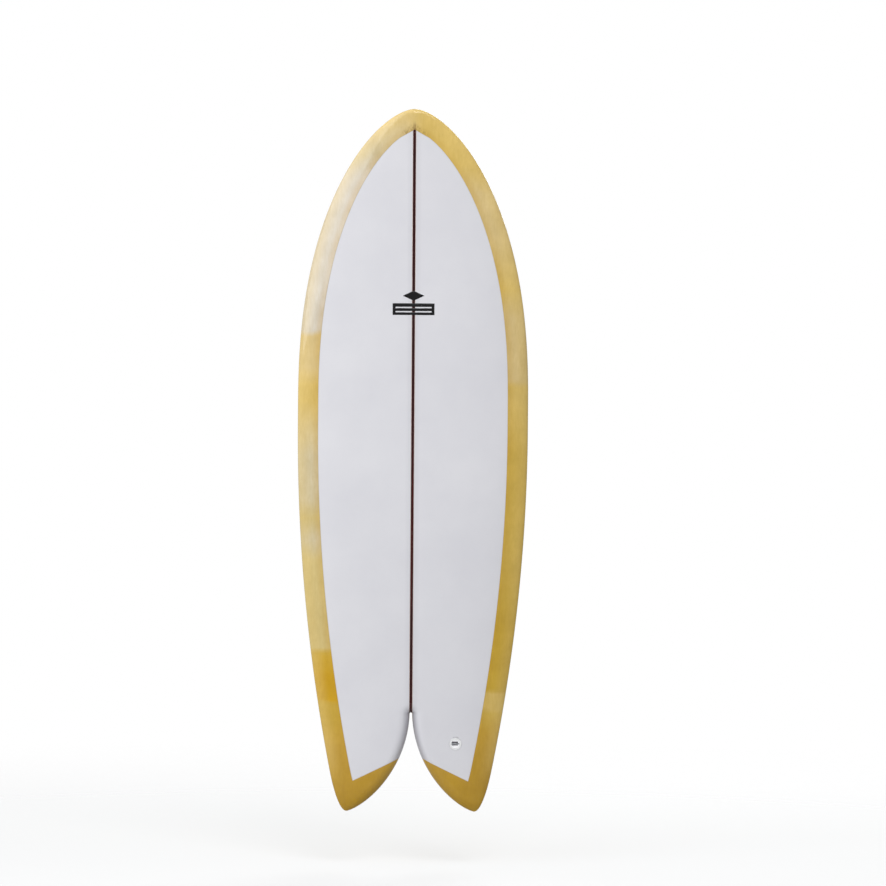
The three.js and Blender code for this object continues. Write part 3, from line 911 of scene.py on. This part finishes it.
def add_blade(work, heights, low, high, count, walls):
    """Both faces of the foil between two edges of z at each height, joined by the named walls."""
    z = between(low, high, count)
    height = np.broadcast_to(heights[:, None], z.shape)
    front, back = fin_edges(height, 0)
    chord = np.clip((front - z) / np.maximum(front - back, 1e-6), 0, 1)
    share = height / FIN_DEPTH
    half = FIN_HALF * (1 - 0.6 * share**1.6) * np.sqrt(np.clip(1 - share**8, 0, 1))
    depth = half * FOIL_SCALE * np.sqrt(chord) * (1 - chord)
    lean = math.tan(FIN_CANT) * height
    outer, inner = (np.stack([lean + face * depth, height, z], axis=-1) * MM for face in (1, -1))
    work.add(outer, value=depth, both_sides=False)
    work.add(inner, flip=True, value=depth, both_sides=False)
    for edge in (WALLS[name] for name in walls):
        work.add(np.stack([outer[edge], inner[edge]]), value=np.stack([depth[edge]] * 2), both_sides=False)


def blade_mesh(name, side, parts):
    """A closed piece of the keel on one side, in the board's frame."""
    work = Patchwork()
    for part in parts:
        add_blade(work, *part)
    mesh = work.mesh(name, closed=True)
    mesh.transform(fin_frame(side))
    if side < 0:
        mesh.flip_normals()
    mesh.set_sharp_from_angle(angle=math.radians(60))
    return mesh


def make_keel(side, word):
    """The wooden panel and the glass rim of one keel, split at the panel's top."""
    top = FIN_DEPTH - FIN_RIM
    lower = FIN_FOOT + (top - FIN_FOOT) * np.sin(np.linspace(0, math.pi / 2, 40))
    upper = top + FIN_RIM * np.sin(np.linspace(0, math.pi / 2, 14))
    front, back = fin_edges(lower, 0)
    panel_front, panel_back = fin_edges(lower, FIN_RIM)
    upper_front, upper_back = fin_edges(upper, 0)
    split = (panel_back[-1] - upper_back[0]) / (upper_front[0] - upper_back[0])
    upper_middle = upper_back + split * (upper_front - upper_back)
    panel = blade_mesh(f"keel_panel_{word}", side, [
        (lower, panel_back, panel_front, 30, ("base", "low", "high")),
    ])
    rim = blade_mesh(f"keel_rim_{word}", side, [
        (lower, back, panel_back, 8, ("base", "high")),
        (lower, panel_front, front, 14, ("base", "low")),
        (upper, upper_back, upper_middle, 8, ()),
        (upper, upper_middle, upper_front, 14, ()),
    ])
    for mesh, material, node, slot in (
        (panel, PLY, f"fin_panel_{word}", "fin_wood"),
        (rim, FIN_GLASS, f"fin_rim_{word}", "fin_glass"),
    ):
        piece = new_object(mesh.name, mesh, material)
        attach(piece, f"fin_{word}")
        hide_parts(node)


make_keel(1, "right")
make_keel(-1, "left")

# ---------------------------------------------------------------- CAD pieces that stay

kept = {
    "foam_left": FOAM,
    "foam_right": FOAM,
    "stringer": STRINGER,
    "leash_plug_cup": PLUG_PLASTIC,
    "leash_plug_bar": STEEL,
}
for word in ("left", "right"):
    kept[f"fin_box_{word}"] = BOX_PLASTIC
    kept[f"fin_base_{word}"] = FIN_GLASS
    kept[f"screw_{word}_front"] = STEEL
    kept[f"screw_{word}_rear"] = STEEL
for name, material in kept.items():
    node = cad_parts[name]
    node.data.materials.clear()
    node.data.materials.append(material)
    node.data.shade_smooth()
    node.data.set_sharp_from_angle(angle=math.radians(32))

# ---------------------------------------------------------------- floor, light and camera

WINDOW_SIDE = Vector((-0.8, -0.15, 0.58)).normalized()
WORLD_BASE = 0.11
WORLD_ABOVE = 0.30
WORLD_GLOW = 0.78
FLOOR_Z = -0.13
CAMERA_PLACE = (0.0725, -9.5, 0.882)
CAMERA_TURN = (math.radians(90), math.radians(-0.40), 0)
CAMERA_LENS = 160.6


def make_floor():
    """A pale disc that catches a soft shadow and fades out all round."""
    work = bmesh.new()
    bmesh.ops.create_circle(work, cap_ends=True, segments=96, radius=9)
    mesh = bpy.data.meshes.new("floor")
    work.to_mesh(mesh)
    work.free()
    graph = Graph("pale_floor", roughness=0.8, specular=0.2)
    squares = graph.math("ADD", graph.product(graph.x, graph.x), graph.product(graph.y, graph.y))
    distance = graph.math("SQRT", squares)
    graph.put(graph.shader.inputs["Alpha"], graph.scaled(distance, 0.6, 4.0, 0.45, 0.0))
    floor = new_object("floor", mesh, graph.finish((0.86, 0.86, 0.86, 1)))
    floor.location.z = FLOOR_Z


def make_light(name, place, aim, width, height, watts):
    data = bpy.data.lights.new(name, "AREA")
    data.shape = "RECTANGLE"
    data.size = width
    data.size_y = height
    data.energy = watts
    light = bpy.data.objects.new(name, data)
    light.location = place
    light.rotation_euler = (Vector(aim) - Vector(place)).to_track_quat("-Z", "Y").to_euler()
    bpy.context.scene.collection.objects.link(light)


def make_world():
    """Soft room light: brightest high on the left, dim behind the camera, plain white to the eye."""
    world = bpy.data.worlds.new("studio")
    bpy.context.scene.world = world
    world.use_nodes = True
    nodes = world.node_tree.nodes
    links = world.node_tree.links

    def join(operation, first, second, third=None):
        node = nodes.new("ShaderNodeMath")
        node.operation = operation
        for socket, value in zip(node.inputs, (first, second, third)):
            if isinstance(value, bpy.types.NodeSocket):
                links.new(value, socket)
            elif value is not None:
                socket.default_value = value
        return node.outputs[0]

    direction = nodes.new("ShaderNodeTexCoord").outputs["Generated"]
    split = nodes.new("ShaderNodeSeparateXYZ")
    links.new(direction, split.inputs[0])
    x, y, z = split.outputs
    towards = join("MULTIPLY", y, WINDOW_SIDE.y)
    towards = join("MULTIPLY_ADD", z, WINDOW_SIDE.z, towards)
    towards = join("MULTIPLY_ADD", x, WINDOW_SIDE.x, towards)
    glow = join("POWER", join("MAXIMUM", join("MULTIPLY_ADD", towards, 0.5, 0.5), 0.0), 4.0)
    above = join("MAXIMUM", join("MULTIPLY_ADD", z, 0.5, 0.5), 0.0)
    strength = join("MULTIPLY_ADD", glow, WORLD_GLOW, join("MULTIPLY_ADD", above, WORLD_ABOVE, WORLD_BASE))
    light = nodes["Background"]
    light.inputs["Color"].default_value = (0.96, 0.98, 1.0, 1)
    links.new(strength, light.inputs["Strength"])
    shown = nodes.new("ShaderNodeBackground")
    shown.inputs["Color"].default_value = (1, 1, 1, 1)
    path = nodes.new("ShaderNodeLightPath")
    choice = nodes.new("ShaderNodeMixShader")
    links.new(path.outputs["Is Camera Ray"], choice.inputs[0])
    links.new(light.outputs[0], choice.inputs[1])
    links.new(shown.outputs[0], choice.inputs[2])
    links.new(choice.outputs[0], nodes["World Output"].inputs["Surface"])


def make_camera():
    data = bpy.data.cameras.new("camera")
    data.sensor_width = 36
    data.lens = CAMERA_LENS
    camera = bpy.data.objects.new("camera", data)
    camera.location = CAMERA_PLACE
    camera.rotation_euler = CAMERA_TURN
    bpy.context.scene.collection.objects.link(camera)
    bpy.context.scene.camera = camera


make_floor()
make_world()
make_light("window", (-2.65, -3.0, 2.38), (0, 0, 2.38), 3.64, 2.6, 62)
make_light("fill", (0.8, -3.0, 3.4), (0, 0, 1.2), 1.8, 1.8, 58)
make_light("back", (1.2, 3.6, 2.8), (0, 0, 0.9), 2.4, 2.0, 70)
make_camera()
bpy.context.scene.view_settings.view_transform = "Standard"
